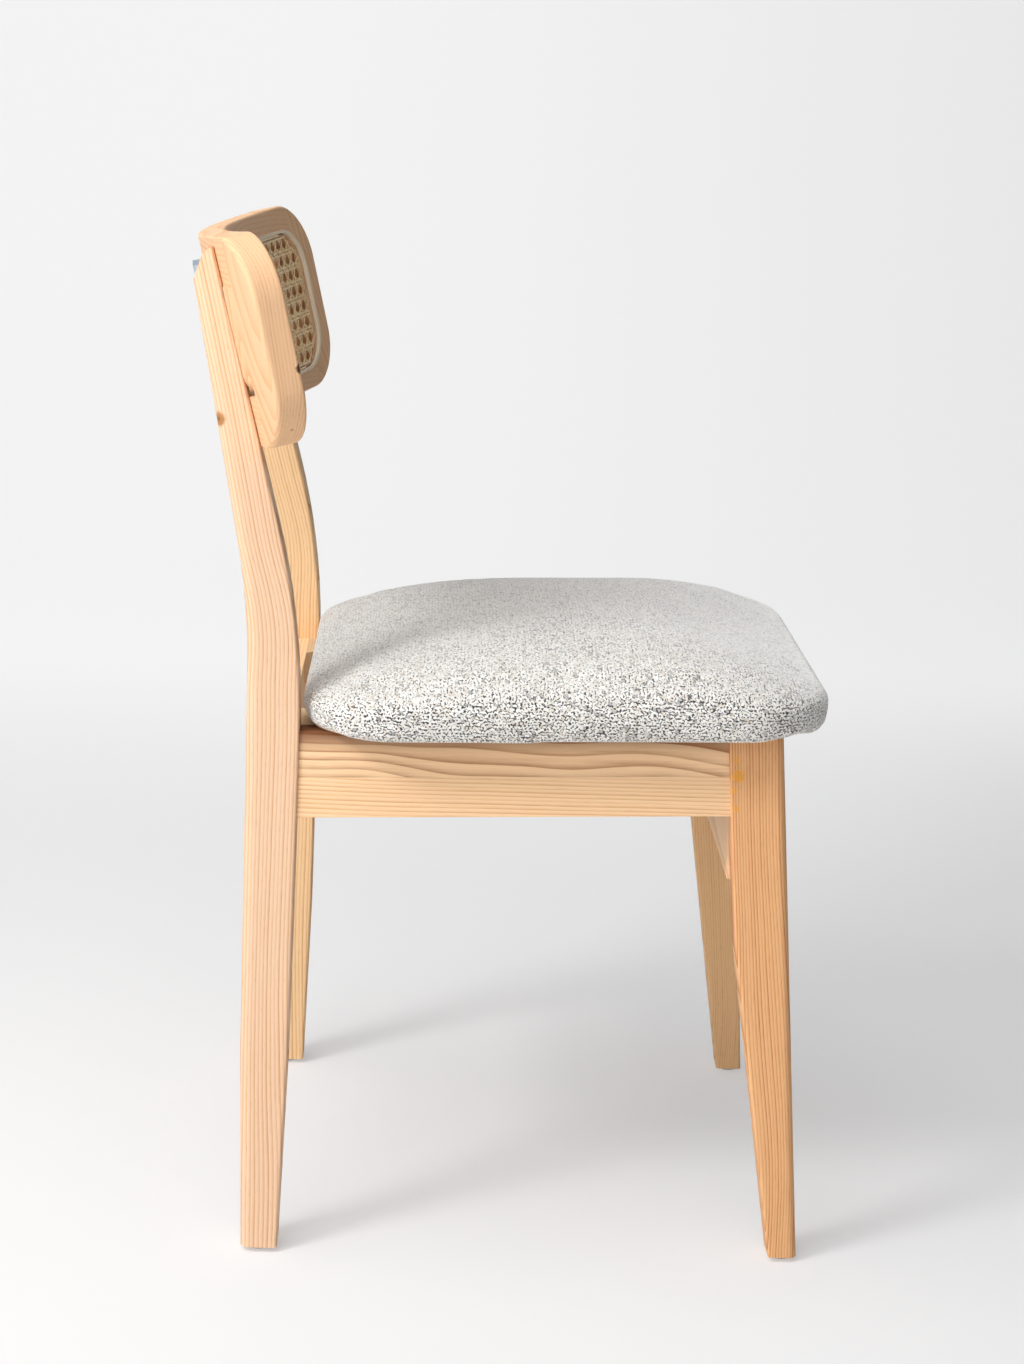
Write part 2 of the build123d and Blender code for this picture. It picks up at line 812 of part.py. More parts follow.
def main():
    dowel_holes = seat_frame_dowels(dowel_radius + glue_gap, glue_gap)
    nail_holes = foot_nails(nail_radius)
    screw_holes = rail_screws()
    seat_screw_holes = seat_screws()
    post = post_blank()
    leg = leg_blank()

    bolt_holes = along_bolts(bolt_radius + glue_gap, -overrun / 2, overrun)
    seats = along_bolts(counterbore_radius, bolt_seat, bolt_seat + overrun)
    back_post = ease_long_edges(post, True, post_outer_round) - post_tip_bevel()
    back_post = back_post - dowel_holes - nail_holes - bolt_holes - seats
    save_pair("back_post", back_post)
    front_leg = ease_long_edges(leg, False, leg_outer_round) - dowel_holes - nail_holes
    save_pair("front_leg", front_leg)

    lower = side_rail_blank(0, rail_lower_share) - post - leg
    upper = side_rail_blank(rail_lower_share, rail_blank_share) - post - leg
    save_pair("side_rail_lower", lower - dowel_holes - screw_holes)
    save_pair("side_rail_upper", upper - dowel_holes - screw_holes)

    all_dowel_holes = both_sides(dowel_holes)
    all_screw_holes = both_sides(screw_holes)
    front = cross_rail_blank(front_rail_back_y - rail_thickness, front_rail_bottom)
    front -= front_rail_hollow()
    rear = cross_rail_blank(rear_rail_front_y, rear_rail_bottom)
    save("front_rail", front - all_dowel_holes - all_screw_holes)
    save("rear_rail", rear - all_dowel_holes - all_screw_holes)
    save("rail_dowels", both_sides(seat_frame_dowels(dowel_radius, 0)))

    side_rail = side_rail_blank(0, rail_blank_share)
    blocks = []
    for at_front in (True, False):
        cross = front if at_front else rear
        block = corner_block_blank(at_front) - side_rail - post - leg - cross
        blocks.append(block - screw_holes - rail_screw_access() - seat_screw_holes)
    save("corner_blocks", both_sides(blocks))
    save("corner_block_screws", both_sides(screw_holes))
    save("seat_screws", both_sides(seat_screw_holes))

    all_seat_screws = both_sides(seat_screw_holes)
    board = under_section(board_inset, cover_thickness, board_thickness)
    filling = cushion_form(cover_thickness)
    foam = filling - board
    opening = under_section(cover_turn_in, -overrun, overrun + cover_thickness)
    cover = cushion_form(0) - filling - opening
    dust = under_section(
        cover_turn_in + glue_gap, cover_thickness - dust_cover_thickness, dust_cover_thickness,
    )
    save("seat_board", board - all_seat_screws)
    save("seat_foam", foam)
    save("seat_cover", cover - all_seat_screws)
    save("dust_cover", dust - all_seat_screws)

    slab = back_slab()
    window = window_prism(window_half_width, window_bottom, window_top, edge_round)
    wide = foot_spread
    rail_layer = back_layer(-overrun, back_thickness - rail_back_step)
    dowel_cuts = back_dowels(back_dowel_radius + glue_gap, glue_gap)
    insert_cuts = along_bolts(insert_radius, -insert_length, overrun)
    right_cuts = dowel_cuts + insert_cuts
    all_cuts = both_sides(right_cuts)
    top_box = back_box(-window_half_width, window_half_width, window_top, wide)
    bottom_box = back_box(-window_half_width, window_half_width, -wide, window_bottom)
    stile_box = back_box(-wide, -window_half_width, -wide, wide)
    posts = both_sides([post])
    save("backrest_top_rail", back_plane * (slab & top_box & rail_layer) - posts - all_cuts)
    save("backrest_bottom_rail", back_plane * (slab & bottom_box & rail_layer) - posts - all_cuts)
    stile = back_plane * (slab & stile_box) - post - dowel_cuts
    save_pair("backrest_stile", stile)
    save_pair("backrest_seat_block", back_plane * seat_block() - post)
    save("backrest_dowels", both_sides(back_dowels(back_dowel_radius, 0)))

    save("cane_panel", back_plane * cane_panel_blank())
    save("cane_spline", back_plane * cane_spline_blank())

    shank_holes = along_bolts(bolt_radius, -overrun, overrun)
    inserts = along_bolts(insert_radius, -insert_length, -insert_sink)
    inserts = [i - h for i, h in zip(inserts, shank_holes)]
    washer_top = bolt_seat + washer_thickness
    washers = [w - h for w, h in zip(along_bolts(washer_radius, bolt_seat, washer_top), shank_holes)]
    save("threaded_inserts", both_sides(inserts))
    save("bolt_washers", both_sides(washers))
    save("backrest_bolts", both_sides(backrest_bolts()))

    save("foot_glides", both_sides(foot_glides()))
    save("glide_nails", both_sides(foot_nails(nail_radius)))


sub_parts = {}
main()
write_parts()
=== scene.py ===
# %% [markdown]
# # A dining chair with a curved cane back
# The chair stands on a pale floor. Its ash frame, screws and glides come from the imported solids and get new
# finishes here. The padded seat, the woven cane and the cloth under the seat are modelled in this file, because
# they are soft or woven and plain solids can't show that.

# %% Load the solids
from math import cos, pi, radians, sin, sqrt
import bpy
from mathutils import Matrix, Vector, noise


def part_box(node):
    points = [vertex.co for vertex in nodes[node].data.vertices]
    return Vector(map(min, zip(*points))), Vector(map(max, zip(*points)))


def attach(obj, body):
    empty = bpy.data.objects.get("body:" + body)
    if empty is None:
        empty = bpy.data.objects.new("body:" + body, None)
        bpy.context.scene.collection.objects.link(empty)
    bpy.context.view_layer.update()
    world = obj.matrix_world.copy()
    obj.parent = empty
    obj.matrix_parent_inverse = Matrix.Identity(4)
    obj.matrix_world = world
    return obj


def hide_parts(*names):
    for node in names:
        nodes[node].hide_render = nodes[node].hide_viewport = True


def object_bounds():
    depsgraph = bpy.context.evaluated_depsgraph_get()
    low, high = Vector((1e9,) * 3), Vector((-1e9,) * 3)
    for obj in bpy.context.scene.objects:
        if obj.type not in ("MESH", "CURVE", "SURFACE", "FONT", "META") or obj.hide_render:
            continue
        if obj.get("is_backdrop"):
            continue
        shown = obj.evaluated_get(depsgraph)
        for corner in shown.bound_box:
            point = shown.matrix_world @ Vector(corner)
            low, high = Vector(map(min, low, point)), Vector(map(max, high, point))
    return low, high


def rounded(values, digits=3):
    return [round(value, digits) for value in values]


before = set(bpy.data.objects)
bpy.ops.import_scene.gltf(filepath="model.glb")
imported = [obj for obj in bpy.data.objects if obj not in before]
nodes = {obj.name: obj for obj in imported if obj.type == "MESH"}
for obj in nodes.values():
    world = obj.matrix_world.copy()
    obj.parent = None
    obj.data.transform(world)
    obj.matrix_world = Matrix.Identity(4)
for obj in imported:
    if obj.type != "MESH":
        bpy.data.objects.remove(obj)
solid_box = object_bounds()
print("solids:", len(nodes), "box", rounded((*solid_box[0], *solid_box[1])))

# %% [markdown]
# ## Writing materials as sums
# A material is a net of small nodes. Placing each one by hand hides the idea, so a small class wraps a socket and
# lets Python's own signs add the Math nodes. A second class makes a whole material and has one method for every
# other node. Colours are written as a screen shows them, from 0 to 255, and turned into the linear kind.

# %% A socket that can be added and multiplied


class Socket:
    """One output of a node, with the arithmetic signs."""

    def __init__(self, finish, output):
        self.finish = finish
        self.output = output

    def math(self, operation, *others):
        return self.finish.node("ShaderNodeMath", {"operation": operation}, [self, *others])

    def __add__(self, other):
        return self.math("ADD", other)

    def __radd__(self, other):
        return self.math("ADD", other)

    def __sub__(self, other):
        return self.math("SUBTRACT", other)

    def __rsub__(self, other):
        return self.finish.node("ShaderNodeMath", {"operation": "SUBTRACT"}, [other, self])

    def __mul__(self, other):
        return self.math("MULTIPLY", other)

    def __rmul__(self, other):
        return self.math("MULTIPLY", other)

    def __truediv__(self, other):
        return self.math("DIVIDE", other)

    def __pow__(self, other):
        return self.math("POWER", other)


# %% A material that is written as sums


def linear(red, green, blue):
    """A screen colour from 0 to 255 as the linear colour a shader wants."""
    return tuple(
        v / 12.92 if v <= 0.04045 else ((v + 0.055) / 1.055) ** 2.4
        for v in (red / 255, green / 255, blue / 255)
    ) + (1.0,)


class Finish:
    """A material, or the look of a world, built node by node."""

    def __init__(self, name, kind="materials"):
        self.made = getattr(bpy.data, kind).new(name)
        self.made.use_nodes = True
        self.tree = self.made.node_tree
        self.tree.nodes.clear()

    def node(self, kind, settings=None, inputs=None, output=0):
        made = self.tree.nodes.new(kind)
        for key, value in (settings or {}).items():
            setattr(made, key, value)
        pairs = inputs.items() if isinstance(inputs, dict) else enumerate(inputs or [])
        for key, value in pairs:
            if isinstance(value, Socket):
                self.tree.links.new(value.output, made.inputs[key])
            else:
                made.inputs[key].default_value = value
        return Socket(self, made.outputs[output]) if made.outputs else made

    def place(self, scale=(1, 1, 1)):
        """Where a point lies on the object, scaled."""
        at = self.node("ShaderNodeTexCoord", output="Object")
        return self.node("ShaderNodeMapping", {}, {"Vector": at, "Scale": scale})

    def split(self, vector):
        """The three numbers of a vector."""
        first = self.node("ShaderNodeSeparateXYZ", inputs=[vector])
        return [Socket(self, output) for output in first.output.node.outputs]

    def join(self, x, y, z):
        return self.node("ShaderNodeCombineXYZ", inputs=[x, y, z])

    def noise(self, vector, scale=1.0, detail=2.0, rough=0.5):
        return self.node(
            "ShaderNodeTexNoise", {},
            {"Vector": vector, "Scale": scale, "Detail": detail, "Roughness": rough},
        )

    def smooth(self, value, low, high):
        """0 below low, 1 above high and a soft step between."""
        return self.node(
            "ShaderNodeMapRange", {"interpolation_type": "SMOOTHSTEP"},
            {"Value": value, "From Min": low, "From Max": high},
        )

    def mix(self, factor, first, second):
        """Two colours, mixed. The Mix node keeps its sockets for colours at 6 and 7 and gives one at 2."""
        return self.node("ShaderNodeMix", {"data_type": "RGBA"}, {0: factor, 6: first, 7: second}, output=2)

    def bump(self, height, depth, strength=1.0):
        return self.node("ShaderNodeBump", {}, {"Height": height, "Distance": depth, "Strength": strength})

    def surface(self, **inputs):
        """End in a Principled surface."""
        named = {key.replace("_", " "): value for key, value in inputs.items()}
        shader = self.node("ShaderNodeBsdfPrincipled", {}, named)
        self.node("ShaderNodeOutputMaterial", {}, [shader])
        return self.made


print("a screen grey of 128 is", rounded(linear(128, 128, 128)), "for a shader")

# %% [markdown]
# ## Ash
# Ash has strong yearly rings. Each ring starts with a row of open pores that look dark and fades into dense pale
# wood. A board shows straight lines where the rings are cut square and long arches where they are cut along. A
# flat pattern of stripes would break at each corner. So the grain is made as real rings round a far-off centre,
# warped a little along the board, and every board gets its own centre. Coordinates are swapped first, so that one
# recipe serves boards that run in any direction.

# %% Rings round a centre

BEND_REACH = 0.06
RIPPLE = 0.002

# How often streaks come across and along the grain in a metre, then their detail and roughness.
SLOW_ACROSS = 12
SLOW_DETAIL = (1.0, 0.5)
QUICK_STREAKS = (30, 7, 2.0, 0.5)
PORE_STREAKS = (1500, 45, 2.0, 0.6)
FIBRE_STREAKS = (420, 9, 3.0, 0.6)
BROAD_STREAKS = (9, 2.2, 2.0, 0.5)


def streaks(wood, board, across, along, detail, rough):
    """Noise that is drawn out along the grain."""
    side, rise, length = board
    return wood.noise(wood.join(side * across, rise * across, length * along), 1.0, detail, rough)


def straightened(wood, at, along, bend):
    """How far a point lies to the side, up and along the grain, which follows the bend of a post."""
    x, y, z = wood.split(at)
    if bend:
        start, slope = bend
        y = y - wood.smooth(z, start - BEND_REACH, start + BEND_REACH) * (z - start) * slope
    return {"X": (y, z, x), "Y": (x, z, y), "Z": (x, y, z)}[along]


def rings_from(wood, board, centre, ring, drift, tilt):
    """How many yearly rings lie between the centre and a point, on a board that may lean a little."""
    side, rise, length = board
    lean, level = tilt
    ripple = (streaks(wood, board, *QUICK_STREAKS) - 0.5) * RIPPLE
    off_side = side - centre[0] + (length - level) * lean
    off_rise = rise - centre[1]
    reach = (off_side * off_side + off_rise * off_rise) ** 0.5
    return (reach + drift + ripple) / ring


# %% Painted shade under the seat, and marks

SEAT_SLOPE = 0.02793
# Painted shadow: a brown band along the top edge of the upper side rails, where the seat shades them.
SEAT_SHADOW_BROWN = linear(116, 64, 34)
SEAT_SHADOW_SWAY = 0.3
SPOT_CORE = 0.45


def with_seat_shadow(wood, at, colour, drift, seat_shadow):
    """Painted shade of the seat: brown from one level to another, measured square to the slope of the seat."""
    low, high, power = seat_shadow
    x, y, z = wood.split(at)
    seat_shadow_share = wood.smooth(z + y * SEAT_SLOPE + drift * SEAT_SHADOW_SWAY, low, high)
    return wood.mix(seat_shadow_share * power, colour, SEAT_SHADOW_BROWN)


def with_marks(wood, at, colour, marks):
    """Ragged round spots, each with a place, a size, a tint, a power and how ragged it is."""
    for place, size, tint, power, rag in marks:
        far = wood.node("ShaderNodeVectorMath", {"operation": "DISTANCE"}, {0: at, 1: place}, output="Value")
        ragged = far + (wood.noise(at, 420.0, 3.0) - 0.5) * (size * rag)
        inside = 1.0 - wood.smooth(ragged, size * SPOT_CORE, size)
        colour = wood.mix(inside * power, colour, tint)
    return colour


# %% Grain of one board

PORE_DEPTH = 0.00016
PORE_EDGE = (0.54, 0.68)
PORE_SHARE = 0.3
FIRST_WOOD, FIRST_WOOD_FADE = 0.08, 1.8


def ash(
    name, pale, dark, along, centre, ring,
    depth=0.6, sway=(0.016, 3.2), bend=None, tilt=(0, 0), seat_shadow=None, marks=(),
):
    """Ash whose grain runs along an axis, with rings of a given width round a centre across it."""
    wood = Finish(name)
    at = wood.place()
    board = straightened(wood, at, along, bend)
    amount, often = sway
    drift = (streaks(wood, board, SLOW_ACROSS, often, *SLOW_DETAIL) - 0.5) * amount
    rings = rings_from(wood, board, centre, ring, drift, tilt)
    share = rings.math("FRACT")
    early = wood.smooth(share, 0.0, FIRST_WOOD) * ((1.0 - share) ** FIRST_WOOD_FADE)
    year = wood.node("ShaderNodeTexWhiteNoise", {"noise_dimensions": "1D"}, {"W": rings.math("FLOOR")})
    pore = wood.smooth(streaks(wood, board, *PORE_STREAKS), *PORE_EDGE) * (0.25 + 0.75 * early)
    fibre = streaks(wood, board, *FIBRE_STREAKS)
    broad = streaks(wood, board, *BROAD_STREAKS)
    tone = early * (0.55 + 0.45 * year) * depth + (fibre - 0.5) * 0.35 + (broad - 0.5) * 0.35 + 0.06
    colour = wood.mix(wood.smooth(tone, 0.0, 1.0), pale, dark)
    colour = wood.mix(pore * PORE_SHARE, colour, [c * 0.6 for c in dark[:3]] + [1.0])
    # Painted shade under the seat, on boards that ask for it.
    if seat_shadow:
        colour = with_seat_shadow(wood, at, colour, drift, seat_shadow)
    colour = with_marks(wood, at, colour, marks)
    height = 0.6 * (1.0 - pore) + fibre * 0.4
    return wood.surface(
        Base_Color=colour, Roughness=0.46 + 0.16 * early + 0.1 * fibre, IOR=1.46, Specular_IOR_Level=0.22,
        Normal=wood.bump(height, PORE_DEPTH, 0.55),
    )


def dress(names, material):
    """Give solids of the frame a material."""
    for name in names:
        mesh = nodes[name].data
        mesh.materials.clear()
        mesh.materials.append(material)
    print(material.name, "on", ", ".join(names))


# %% [markdown]
# ## Posts and legs
# Posts and legs are each sawn from one board, so their lines run from end to end and follow the bend of the post.
# In the photograph the posts are the palest wood, and the near front leg is redder than the others. One colour for
# all would look like plastic, so each board gets its own pale and dark colour. The far front leg is also painted
# paler, as painted light from the floor. A knot shows on the edge of the near post and yellow filler at the joint
# of the near leg. Both are spots in the material, since they are flush.

# %% Back posts

SIDES = {"right": -1, "left": 1}
KNOT = linear(74, 44, 26)
KNOT_RIM = linear(176, 122, 72)
PALE_POST = {"right": linear(242, 206, 174), "left": linear(248, 210, 162)}
DARK_POST = linear(214, 156, 106)
BACKREST_BEND = (0.50, 0.23)
POST_MARKS = [
    ((-0.1655, 0.2235, 0.6486), 0.0075, KNOT_RIM, 0.95, 0.5),
    ((-0.1655, 0.2245, 0.6486), 0.003, KNOT, 0.6, 0.5),
]

for side, way in SIDES.items():
    dress(["back_post_" + side], ash(
        "ash_post_" + side, PALE_POST[side], DARK_POST, "Z", centre=(0.2 * way, -1.1), ring=0.0031,
        depth=0.95, bend=BACKREST_BEND, marks=POST_MARKS,
    ))

# %% Front legs

# The left leg's colours are paler: painted light, for the light that the floor throws on this leg.
PALE_LEG_AND_BOUNCE_LIGHT = {"right": linear(242, 188, 136), "left": linear(254, 208, 156)}
DARK_LEG_AND_BOUNCE_LIGHT = {"right": linear(190, 116, 60), "left": linear(214, 152, 96)}
LEG_DEPTH = {"right": 0.95, "left": 0.6}
LEG_RAKE = (0.06, 0.07)
FILLER = linear(238, 164, 60)
LEG_MARKS = [
    ((-0.1888, -0.1790, 0.3885), 0.0062, FILLER, 0.85, 2.4),
    ((-0.1877, -0.1770, 0.3997), 0.0036, FILLER, 0.6, 2.4),
    ((-0.1890, -0.1765, 0.3761), 0.0034, FILLER, 0.6, 2.4),
    ((-0.1908, -0.1785, 0.3624), 0.0034, FILLER, 0.6, 2.4),
]

for side, way in SIDES.items():
    dress(["front_leg_" + side], ash(
        "ash_leg_" + side, PALE_LEG_AND_BOUNCE_LIGHT[side], DARK_LEG_AND_BOUNCE_LIGHT[side], "Z", centre=(0.14 * way, -0.9), ring=0.0024,
        depth=LEG_DEPTH[side], bend=LEG_RAKE, marks=LEG_MARKS,
    ))

# %% [markdown]
# ## Rails
# Each side rail is glued up from two boards. The lower one has straight lines. The upper one was sawn close to the
# middle of the tree: its rings are wide and they sway. Its top edge is darkened brown as painted shade under the
# seat. The front and rear rails come from plainer boards, whose grain runs from side to side.

# %% Side rails and cross rails

PALE_RAIL = linear(253, 214, 170)
DARK_RAIL = linear(212, 146, 86)
BROWN_RAIL = linear(164, 94, 46)

for side, way in SIDES.items():
    dress(["side_rail_lower_" + side], ash(
        "ash_rail_lower_" + side, PALE_RAIL, DARK_RAIL, "Y", centre=(0.175 * way, -0.35), ring=0.0033,
        depth=0.65,
    ))
    # The upper rail's top edge gets a brown band of painted shade under the seat.
    dress(["side_rail_upper_" + side], ash(
        "ash_rail_upper_" + side, PALE_RAIL, BROWN_RAIL, "Y", centre=(0.1 * way, -0.2), ring=0.0088,
        depth=0.85, sway=(0.062, 6.0), seat_shadow=(0.397, 0.418, 0.9),
    ))
dress(["front_rail", "rear_rail"], ash(
    "ash_cross_rail", PALE_RAIL, DARK_RAIL, "X", centre=(-0.9, 0.36), ring=0.0036,
))

# %% [markdown]
# ## Backrest and hidden wood
# The rails of the backrest are bent, so their lines run along the curve. Its ends show long arches, because they
# were sawn round from thick boards, so their ring centre lies close to the face and leans with the backrest. Wood
# that nobody sees is only planed, so it is plainer and duller.

# %% Backrest, blocks and dowels

PALE_BACK = linear(242, 198, 156)
DARK_BACK = linear(208, 140, 80)
STILE_MARKS = [
    ((-0.2215, 0.1600, 0.6951), 0.0042, KNOT, 0.95, 1.2),
    ((-0.2129, 0.1657, 0.6484), 0.0016, KNOT_RIM, 0.8, 1.0),
]

dress(["backrest_top_rail", "backrest_bottom_rail"], ash(
    "ash_backrest_rail", PALE_BACK, DARK_BACK, "X", centre=(0.2, -0.9), ring=0.0042,
    depth=0.45, sway=(0.03, 4.0),
))
for side, way in SIDES.items():
    dress(["backrest_stile_" + side, "backrest_seat_block_" + side], ash(
        "ash_backrest_end_" + side, PALE_BACK, DARK_BACK, "Z", centre=(0.150 * way, 0.060), ring=0.0024,
        depth=0.55, sway=(0.020, 6.0), bend=BACKREST_BEND, tilt=(0.12 * way, 0.70), marks=STILE_MARKS,
    ))
dress(["corner_blocks", "rail_dowels", "backrest_dowels"], ash(
    "planed_wood", linear(222, 190, 150), linear(186, 146, 104), "X", centre=(-0.4, 0.2), ring=0.0026,
    depth=0.4,
))

# %% [markdown]
# ## Metal, plywood and glides
# Small parts carry a chair without being noticed. Zinc is bluish and a little cloudy, plywood shows its thin
# layers on the edge, and the glides are hard pale plastic that is worn where it meets the floor. Their shapes are
# in the solids, so noise of the right size is all that they need.

# %% Zinc


def zinc():
    metal = Finish("zinc_plate")
    cloud = metal.noise(metal.place(), 260.0, 3.0, 0.6)
    scratch = metal.noise(metal.place(scale=(900, 900, 90)), 1.0, 2.0)
    return metal.surface(
        Base_Color=metal.mix(cloud, linear(150, 172, 190), linear(206, 216, 224)), Metallic=1.0,
        Roughness=0.22 + 0.22 * cloud + 0.1 * scratch, Normal=metal.bump(scratch, 0.00005, 0.4),
    )


dress([
    "backrest_bolts", "bolt_washers", "threaded_inserts", "corner_block_screws", "seat_screws", "glide_nails",
], zinc())

# %% Plywood and glides

PLY = 0.0015
WORN_LOW, WORN_HIGH = 0.0002, 0.0016


def plywood():
    sheet = Finish("plywood")
    x, y, z = sheet.split(sheet.place())
    level = (z + y * SEAT_SLOPE) / PLY
    layer = sheet.node("ShaderNodeTexWhiteNoise", {"noise_dimensions": "1D"}, {"W": level.math("FLOOR")})
    fibre = sheet.noise(sheet.join(x * 20, y * 500, z * 900), 1.0, 3.0)
    colour = sheet.mix(layer, linear(214, 182, 140), linear(176, 138, 96))
    colour = sheet.mix(fibre * 0.3, colour, linear(140, 104, 70))
    return sheet.surface(Base_Color=colour, Roughness=0.62 + 0.2 * fibre, Normal=sheet.bump(fibre, 0.0002, 0.5))


def glide():
    plastic = Finish("glide_plastic")
    at = plastic.place()
    grain = plastic.noise(at, 1400.0, 3.0)
    x, y, z = plastic.split(at)
    worn = 1.0 - plastic.smooth(z, WORN_LOW, WORN_HIGH)
    colour = plastic.mix(worn * 0.6, linear(222, 220, 216), linear(168, 164, 158))
    return plastic.surface(
        Base_Color=plastic.mix(grain * 0.25, colour, linear(236, 234, 230)), Roughness=0.42 + 0.3 * worn,
        Normal=plastic.bump(grain, 0.00008, 0.4),
    )


dress(["seat_board"], plywood())
dress(["foot_glides"], glide())

# %% [markdown]
# ## The padded seat
# A sheet of foam on a plywood board is wrapped in tweed, which is pulled tight and stapled underneath. A block
# with rounded edges would look stiff. So the foam and board are copied and melted into one skin of even squares,
# which can then be shaped point by point.

# %% Helpers that shape a mesh


def deselect():
    bpy.ops.object.select_all(action="DESELECT")


def activate(thing):
    deselect()
    thing.select_set(True)
    bpy.context.view_layer.objects.active = thing


def apply_modifier(thing, kind, **settings):
    """Add a modifier with settings and apply it."""
    modifier = thing.modifiers.new(kind.title(), kind)
    for key, value in settings.items():
        setattr(modifier, key, value)
    activate(thing)
    bpy.ops.object.modifier_apply(modifier=modifier.name)


def keep_place(thing):
    """Move an object's place into its mesh."""
    activate(thing)
    bpy.ops.object.transform_apply(location=True, rotation=True, scale=True)


def finish_piece(thing, material):
    """Give a new piece its material and its slot, and let it ride on the chair."""
    thing.data.materials.clear()
    thing.data.materials.append(material)
    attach(thing, "root")
    lows = rounded((min(v.co[i] for v in thing.data.vertices) for i in range(3)), 4)
    highs = rounded((max(v.co[i] for v in thing.data.vertices) for i in range(3)), 4)
    print(thing.name, len(thing.data.polygons), "faces", lows, highs)


# %% Foam and board melted into one skin

VOXEL = 0.005
WELD = 0.00001


def copy_solids(names, name):
    """One new object with the merged meshes of several solids."""
    deselect()
    for node in names:
        made = bpy.data.objects.new(name, nodes[node].data.copy())
        bpy.context.scene.collection.objects.link(made)
        made.select_set(True)
        bpy.context.view_layer.objects.active = made
    bpy.ops.object.join()
    made = bpy.context.view_layer.objects.active
    made.name = name
    bpy.ops.object.mode_set(mode="EDIT")
    bpy.ops.mesh.select_all(action="SELECT")
    bpy.ops.mesh.remove_doubles(threshold=WELD)
    bpy.ops.object.mode_set(mode="OBJECT")
    return made


cushion = copy_solids(["seat_foam", "seat_board"], "seat_cushion")
apply_modifier(cushion, "REMESH", mode="VOXEL", voxel_size=VOXEL)
apply_modifier(cushion, "SMOOTH", factor=0.5, iterations=8)
print("skin points:", len(cushion.data.vertices))

# %% [markdown]
# ## Tight as a drum
# Foam pushes its cover outwards, most of all in the middle of a face, and the cover holds it back. Pushing points
# out by hand makes even bulges. So the skin is blown up a little as cloth, while its underside is held. How far a
# point may move is capped, which keeps the seat close to its solid. The cloth modifier is applied, so only the
# shape is left.

# %% Blown up as cloth

SEAT_BACK = 0.15817
SEAT_LEVEL = 0.413
COVER = 0.0020
SWELL = 0.0036
HELD_HEIGHT = 0.004
START_FRAME = 1
LAST_FRAME = 20


def seat_plane(y):
    """Height of the top of the seat frame."""
    return SEAT_LEVEL + (SEAT_BACK - y) * SEAT_SLOPE


def blow_up(thing, held, least, most):
    """Cloth pressure, with limits on how far a point moves outwards."""
    rest = [(v.co.copy(), v.normal.copy()) for v in thing.data.vertices]
    group = thing.vertex_groups.new(name="held")
    group.add([v.index for v in thing.data.vertices if held(v.co)], 1.0, "REPLACE")
    modifier = thing.modifiers.new("Swell", "CLOTH")
    cloth = modifier.settings
    cloth.vertex_group_mass = "held"
    cloth.use_pressure = True
    cloth.uniform_pressure_force = 4.0
    cloth.effector_weights.gravity = 0.0
    cloth.quality = 4
    cloth.mass = 0.3
    cloth.tension_stiffness = 25.0
    cloth.compression_stiffness = 25.0
    cloth.bending_stiffness = 1.0
    modifier.point_cache.frame_start = START_FRAME
    modifier.point_cache.frame_end = LAST_FRAME
    for number in range(START_FRAME, LAST_FRAME + 1):
        bpy.context.scene.frame_set(number)
    activate(thing)
    bpy.ops.object.modifier_apply(modifier=modifier.name)
    bpy.context.scene.frame_set(START_FRAME)
    steps = [(v.co - start).dot(normal) for v, (start, normal) in zip(thing.data.vertices, rest)]
    for vertex, step, (start, normal) in zip(thing.data.vertices, steps, rest):
        vertex.co = start + normal * min(max(step, least), most)
    thing.vertex_groups.clear()
    print(thing.name, "would move", round(max(steps) * 1000, 1), "mm, capped at", most * 1000)


blow_up(cushion, lambda co: co.z < seat_plane(co.y) + HELD_HEIGHT, COVER, SWELL)

# %% [markdown]
# ## Use and gathering
# A seat that has been used is no longer even. Its crown has settled, its rim hangs a little over the frame, and
# the cover is gathered in small folds where it turns under. Carving this by hand can't be repeated, so each point
# is moved by a sum that depends on where it lies. The underside is kept flat on the frame.

# %% How far each part has settled

UNDERSIDE = 0.0010
GATHER_HEIGHT = 0.030
FRAME_SIDE, FRAME_FRONT = 0.190, 0.217
RIM = 0.020
SIDE_SAG, FRONT_SAG = 0.0028, 0.0045
CROWN_SINK, REAR_SINK, FRONT_FILL = 0.0026, 0.0046, 0.0030
CROWN_BAND = (0.015, 0.045)
REAR_BAND = (-0.02, 0.11)
FRONT_BAND = (0.14, 0.21)
EDGE_BAND = (0.012, 0.030)


def ramp(value, low, high):
    """0 below low, 1 above high and a soft step between."""
    share = min(max((value - low) / (high - low), 0.0), 1.0)
    return share * share * (3 - 2 * share)


def sag(co):
    """How far the padded rim hangs down outside the frame."""
    beside = ramp(abs(co.x), FRAME_SIDE, FRAME_SIDE + RIM)
    before = ramp(-co.y, FRAME_FRONT, FRAME_FRONT + RIM)
    return SIDE_SAG * beside + FRONT_SAG * before


def settle(co, above):
    """Use has pressed the crown down a little, most of all at the back, and pushed the front edge out."""
    co.z -= ramp(above, *CROWN_BAND) * (CROWN_SINK + REAR_SINK * ramp(co.y, *REAR_BAND))
    co.y -= FRONT_FILL * ramp(-co.y, *FRONT_BAND) * ramp(above, *EDGE_BAND)


# %% Flat below, gathered at its lower edge

POST_FACE = 0.1576
MIDDLE_OF_SEAT = -0.045
FIRST_MOVED = 0.002
FOLD_DEPTH, NUB_DEPTH = 0.0011, 0.00035
FOLDS_ALONG, FOLDS_UP, NUBS = 60, 12, 330  # waves of noise in a metre

